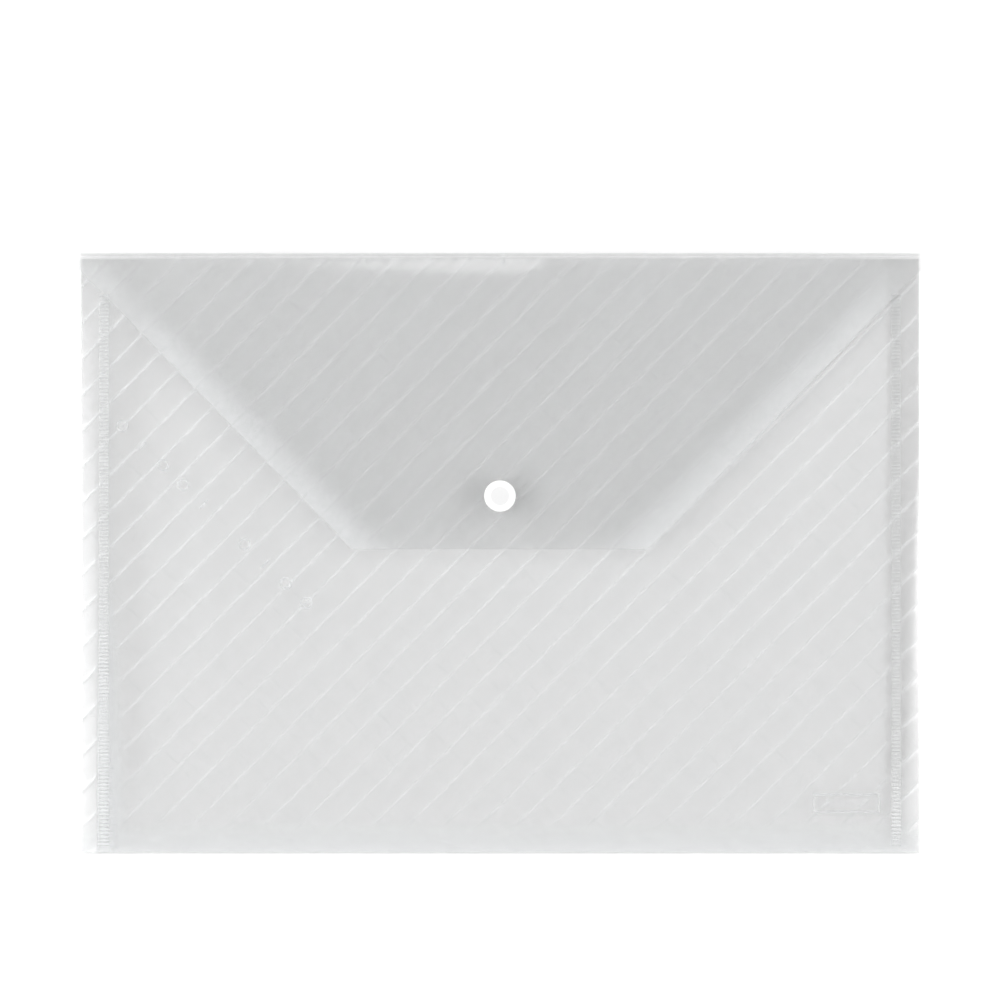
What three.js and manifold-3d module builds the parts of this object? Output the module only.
// A snap-button document wallet, the envelope kind of portfolio case, for A4 paper.
// One polypropylene film is folded at the bottom into a pocket, welded down both sides, and folded over the
// mouth as a closing flap. A four-part plastic snap holds the flap to the front panel.
//
// Millimetres. +X to the right, +Y from the bottom fold to the top fold, +Z out of the front panel.
// The wallet lies on its back panel. The origin is the centre of that panel's outer face.
import * as THREE from "three";
import { mergeVertices } from "three/addons/utils/BufferGeometryUtils.js";
import Module from "manifold-3d";

const wasm = await Module();
wasm.setup();

// Driving dimensions of the film body
const WIDTH = 335;
const HEIGHT = 240;
const FILM = 0.2;
const SELVEDGE = 7.2; // loose film outside each weld
const WELD = 4;
const POCKET_GAP = 5.6; // clear height inside the pocket, on its flat middle
const WELD_GAP = 0.1; // what is left of that height along the welds
const WELD_LIFT = 1.6; // how high the welds stand off the table
const WELD_LIFT_RUN = 30; // length over which they come down to the table at the top fold
const WELD_LIFT_WIDTH = 20; // width over which the back panel comes down to the table from a weld
const BOTTOM_GAP = 1.5; // how much of it the bottom fold holds open by itself
const SIDE_RISE = 50; // width over which the front panel rises from a weld
const BOTTOM_RISE = 50; // and from the bottom fold
const BOTTOM_FOLD_DEPTH = 1;
const SELVEDGE_FLARE = 0.3; // how far the two loose films part at the outer edge
const MOUTH_SETBACK = 1; // the front panel's free edge stops this short of the top fold
const SEAM_STEPS = 32;

// Driving dimensions of the flap
const FOLD_RADIUS = 3.3;
const FLAP_SHOULDER = 113; // where the flap starts to narrow
const FLAP_LEVEL = 38; // below this line the flap lies level, so that the snap seats square
const FLAP_TIP = 1.8;
const FLAP_TIP_HALF_WIDTH = 59;

// Driving dimensions of the snap, all on one upright axis
const SNAP_Y = 23;
const BUTTON_RADIUS = 6.25;
const BUTTON_HEIGHT = 1.3;
const RING_RADIUS = 5.25;
const INNER_CAP_RADIUS = 5.75;
const INNER_CAP_HEIGHT = 1;
const POST_RADIUS = 1.3;
const POST_CLEARANCE = 0.05;
const RIVET_RADIUS = 1.8; // the flattened end of each post
const FILM_HOLE_RADIUS = 1.6;
const STUD_FLANGE = 0.8;
const SOCKET_HEIGHT = 2;
const SOCKET_GAP = 0.1;

// Worked out from the above
const HALF_WIDTH = WIDTH / 2;
const HALF_HEIGHT = HEIGHT / 2;
const POCKET_HALF = HALF_WIDTH - SELVEDGE - WELD;
const FOLD_Y = HALF_HEIGHT - FOLD_RADIUS;
const PANEL_BOTTOM = -HALF_HEIGHT + BOTTOM_FOLD_DEPTH;
const MOUTH_Y = FOLD_Y - MOUTH_SETBACK;
const FRONT_UNDER = FILM + POCKET_GAP;
const FRONT_TOP = FRONT_UNDER + FILM;
const FLANGE_TOP = FRONT_TOP + STUD_FLANGE;
const SOCKET_BASE = FLANGE_TOP + SOCKET_GAP;
const FLAP_UNDER = SOCKET_BASE + SOCKET_HEIGHT;
const FLAP_TOP = FLAP_UNDER + FILM;

const film = (color) => new THREE.MeshStandardMaterial({ color, roughness: 0.35, metalness: 0 });
const moulded = (color) => new THREE.MeshStandardMaterial({ color, roughness: 0.3, metalness: 0 });

const wallet = new THREE.Group();

function add(name, geometry, material) {
  const mesh = new THREE.Mesh(geometry, material);
  mesh.name = name;
  wallet.add(mesh);
  return mesh;
}

// A closed sheet: a unit box split into across x along cells, each vertex placed by place(u, v, skin),
// with u and v from 0 to 1 and skin 0 on one face of the film and 1 on the other.
function sheet(across, along, place) {
  const geometry = new THREE.BoxGeometry(1, 1, 1, across, along, 1);
  const at = geometry.attributes.position;
  for (let i = 0; i < at.count; i++) {
    const p = place(at.getX(i) + 0.5, at.getY(i) + 0.5, at.getZ(i) + 0.5);
    at.setXYZ(i, p.x, p.y, p.z);
  }
  return geometry;
}

const pick = (lines, share) => lines[Math.round(share * (lines.length - 1))];

// Manifold solids, for the holes that the snap's posts pass through
function toSolid(geometry) {
  const bare = geometry.clone();
  bare.deleteAttribute("normal");
  bare.deleteAttribute("uv");
  const merged = mergeVertices(bare, 1e-4);
  return new wasm.Manifold(
    new wasm.Mesh({
      numProp: 3,
      vertProperties: new Float32Array(merged.attributes.position.array),
      triVerts: new Uint32Array(merged.index.array),
    }),
  );
}

function toGeometry(solid) {
  const mesh = solid.getMesh();
  const geometry = new THREE.BufferGeometry();
  geometry.setAttribute("position", new THREE.BufferAttribute(mesh.vertProperties, 3));
  geometry.setIndex(new THREE.BufferAttribute(mesh.triVerts, 1));
  geometry.computeVertexNormals();
  return geometry;
}

function punched(geometry) {
  const punch = new THREE.CylinderGeometry(FILM_HOLE_RADIUS, FILM_HOLE_RADIUS, 40, 24);
  punch.rotateX(Math.PI / 2).translate(0, SNAP_Y, 0);
  return toGeometry(toSolid(geometry).subtract(toSolid(punch)));
}

// How far the front panel has risen, 0 at a fixed edge and 1 on the flat middle
function rise(distance, width) {
  const t = Math.min(Math.max(distance / width, 0), 1);
  return t * t * (3 - 2 * t);
}

// Height of the back panel's underside: level, and curling up to the welds at both sides
function backLift(x, y) {
  const outside = Math.max(Math.abs(x) - POCKET_HALF - WELD, 0) / SELVEDGE;
  const side = rise(POCKET_HALF - Math.abs(x), WELD_LIFT_WIDTH);
  return WELD_LIFT * (1 - side) * (1 - outside) * rise(FOLD_Y - y, WELD_LIFT_RUN);
}

// Clear height between the panels
function pocketGap(x, y) {
  const side = rise(POCKET_HALF - Math.abs(x), SIDE_RISE);
  const bottom = rise(y - PANEL_BOTTOM, BOTTOM_RISE);
  return WELD_GAP + side * (BOTTOM_GAP + (POCKET_GAP - WELD_GAP - BOTTOM_GAP) * bottom);
}

// Mesh lines across the panels, closest beside the welds, and along them
const RISE_STEPS = [0, 0.2, 0.4, 0.6, 0.8, 1];
const CURL_LINES = RISE_STEPS.map((s) => -POCKET_HALF + s * WELD_LIFT_WIDTH);
const LEFT_LINES = [...CURL_LINES, ...[0.6, 0.8, 1].map((s) => -POCKET_HALF + s * SIDE_RISE)];
const RIGHT_LINES = LEFT_LINES.map((x) => -x).reverse();
const X_LINES = [...LEFT_LINES, 0, ...RIGHT_LINES];
const BOTTOM_LINES = RISE_STEPS.map((s) => PANEL_BOTTOM + s * BOTTOM_RISE);
const TOP_LINES = [1, 0.8, 0.6, 0.4, 0.2].map((s) => FOLD_Y - s * WELD_LIFT_RUN);

function backPanel() {
  const yLines = [PANEL_BOTTOM, ...TOP_LINES, FOLD_Y];
  const geometry = sheet(X_LINES.length - 1, yLines.length - 1, (u, v, skin) => {
    const x = pick(X_LINES, u);
    const y = pick(yLines, v);
    return new THREE.Vector3(x, y, backLift(x, y) + skin * FILM);
  });
  add("back_panel", geometry, film(0xdfe2e3));
}

function frontPanel() {
  const yLines = [...BOTTOM_LINES, ...TOP_LINES, MOUTH_Y];
  const geometry = sheet(X_LINES.length - 1, yLines.length - 1, (u, v, skin) => {
    const x = pick(X_LINES, u);
    const y = pick(yLines, v);
    return new THREE.Vector3(x, y, backLift(x, y) + FILM + pocketGap(x, y) + skin * FILM);
  });
  add("front_panel", punched(geometry), film(0xe2e5e5));
}

// The film's turn from the front panel to the back panel, as low at the welds as they are
function bottomFold() {
  const geometry = sheet(X_LINES.length - 1, 8, (u, v, skin) => {
    const x = pick(X_LINES, u);
    const outer = (2 * FILM + pocketGap(x, PANEL_BOTTOM)) / 2;
    const turn = v * Math.PI;
    const depth = BOTTOM_FOLD_DEPTH - skin * FILM;
    const half = outer - skin * FILM;
    const middle = backLift(x, PANEL_BOTTOM) + outer;
    return new THREE.Vector3(x, PANEL_BOTTOM - depth * Math.sin(turn), middle + half * Math.cos(turn));
  });
  add("bottom_fold", geometry, film(0xe6e9e9));
}

// The fused weld and the two loose film edges outside it, as one strip that slopes down to its outer edge
function sideSeam(name, side) {
  const fused = 2 * FILM + WELD_GAP;
  const inner = side * POCKET_HALF;
  const crotch = side * (POCKET_HALF + WELD);
  const edge = side * HALF_WIDTH;
  const section = new THREE.Shape();
  section.moveTo(inner, 0);
  section.lineTo(edge, 0);
  section.lineTo(edge, FILM);
  section.lineTo(crotch, FILM);
  section.lineTo(edge, FILM + SELVEDGE_FLARE);
  section.lineTo(edge, 2 * FILM + SELVEDGE_FLARE);
  section.lineTo(crotch, fused);
  section.lineTo(inner, fused);
  section.closePath();
  const length = FOLD_Y + HALF_HEIGHT;
  const geometry = new THREE.ExtrudeGeometry(section, { depth: length, steps: SEAM_STEPS, bevelEnabled: false });
  geometry.rotateX(Math.PI / 2).translate(0, FOLD_Y, 0);
  const at = geometry.attributes.position;
  for (let i = 0; i < at.count; i++) {
    at.setZ(i, at.getZ(i) + backLift(at.getX(i), at.getY(i)));
  }
  add(name, geometry, film(0xeceeee));
}

// The living hinge: a half turn of film round the hinge line
function topFold() {
  const geometry = sheet(1, 14, (u, v, skin) => {
    const turn = (v - 0.5) * Math.PI;
    const radius = FOLD_RADIUS - skin * FILM;
    return new THREE.Vector3(
      (2 * u - 1) * HALF_WIDTH,
      FOLD_Y + radius * Math.cos(turn),
      FOLD_RADIUS + radius * Math.sin(turn),
    );
  });
  add("top_fold", geometry, film(0xe6e9e9));
}

function closingFlap() {
  const lines = [FLAP_TIP, FLAP_LEVEL, FLAP_SHOULDER, FOLD_Y];
  const start = 2 * FOLD_RADIUS - FILM;
  const geometry = sheet(2, lines.length - 1, (u, v, skin) => {
    const y = pick(lines, v);
    const narrowed = Math.max(FLAP_SHOULDER - y, 0) / (FLAP_SHOULDER - FLAP_TIP);
    const half = HALF_WIDTH - (HALF_WIDTH - FLAP_TIP_HALF_WIDTH) * narrowed;
    const climbed = Math.min((FOLD_Y - y) / (FOLD_Y - FLAP_LEVEL), 1);
    return new THREE.Vector3((2 * u - 1) * half, y, start + (FLAP_UNDER - start) * climbed + skin * FILM);
  });
  add("closing_flap", punched(geometry), film(0xcfd1d3));
}

// A turned piece on the snap's axis, from a closed profile of [radius, height] pairs
function turned(name, profile, material) {
  const points = [...profile, profile[0]].map(([r, z]) => new THREE.Vector2(r, z));
  const geometry = new THREE.LatheGeometry(points, 36);
  geometry.rotateX(Math.PI / 2).translate(0, SNAP_Y, 0);
  add(name, geometry, material);
}

// The white button on the flap, with the post that is flattened inside the socket
function snapButton() {
  const top = FLAP_TOP + BUTTON_HEIGHT;
  const dish = top - 0.25;
  const wall = FLAP_UNDER - 0.5;
  turned(
    "snap_button",
    [
      [0, wall - 0.35],
      [RIVET_RADIUS, wall - 0.35],
      [RIVET_RADIUS, wall],
      [POST_RADIUS, wall],
      [POST_RADIUS, FLAP_TOP],
      [BUTTON_RADIUS - 0.25, FLAP_TOP],
      [BUTTON_RADIUS, FLAP_TOP + 0.25],
      [BUTTON_RADIUS, top - 0.55],
      [BUTTON_RADIUS - 0.2, top - 0.15],
      [BUTTON_RADIUS - 0.6, top],
      [4.4, top],
      [4, dish],
      [0, dish],
    ],
    moulded(0xfafafa),
  );
}

function snapSocket() {
  const wall = FLAP_UNDER - 0.5;
  turned(
    "snap_socket",
    [
      [2.6, SOCKET_BASE],
      [RING_RADIUS - 0.3, SOCKET_BASE],
      [RING_RADIUS, SOCKET_BASE + 0.3],
      [RING_RADIUS, FLAP_UNDER],
      [POST_RADIUS + POST_CLEARANCE, FLAP_UNDER],
      [POST_RADIUS + POST_CLEARANCE, wall],
      [3, wall],
      [3, SOCKET_BASE + 0.55],
      [2.6, SOCKET_BASE + 0.3],
    ],
    moulded(0xf2f2f2),
  );
}

function snapStud() {
  const top = FLANGE_TOP + 1.1;
  const recess = FLANGE_TOP + 0.5;
  turned(
    "snap_stud",
    [
      [POST_RADIUS + POST_CLEARANCE, FRONT_TOP],
      [RING_RADIUS, FRONT_TOP],
      [RING_RADIUS, FLANGE_TOP - 0.2],
      [RING_RADIUS - 0.2, FLANGE_TOP],
      [2.1, FLANGE_TOP],
      [2.1, FLANGE_TOP + 0.35],
      [2.5, FLANGE_TOP + 0.6],
      [2.5, FLANGE_TOP + 0.85],
      [2.25, top],
      [1.9, top],
      [1.9, recess],
      [POST_RADIUS + POST_CLEARANCE, recess],
    ],
    moulded(0xf2f2f2),
  );
}

// The cap inside the pocket, with the post that is flattened inside the stud
function innerSnapCap() {
  const base = FRONT_UNDER - INNER_CAP_HEIGHT;
  const seat = FLANGE_TOP + 0.5;
  turned(
    "inner_snap_cap",
    [
      [0, base],
      [INNER_CAP_RADIUS - 0.6, base],
      [INNER_CAP_RADIUS - 0.15, base + 0.3],
      [INNER_CAP_RADIUS, base + 0.6],
      [INNER_CAP_RADIUS, FRONT_UNDER],
      [POST_RADIUS, FRONT_UNDER],
      [POST_RADIUS, seat],
      [RIVET_RADIUS, seat],
      [RIVET_RADIUS, seat + 0.4],
      [0, seat + 0.4],
    ],
    moulded(0xf6f6f6),
  );
}

backPanel();
frontPanel();
bottomFold();
sideSeam("left_side_seam", -1);
sideSeam("right_side_seam", 1);
innerSnapCap();
snapStud();
topFold();
closingFlap();
snapSocket();
snapButton();

export default wallet;
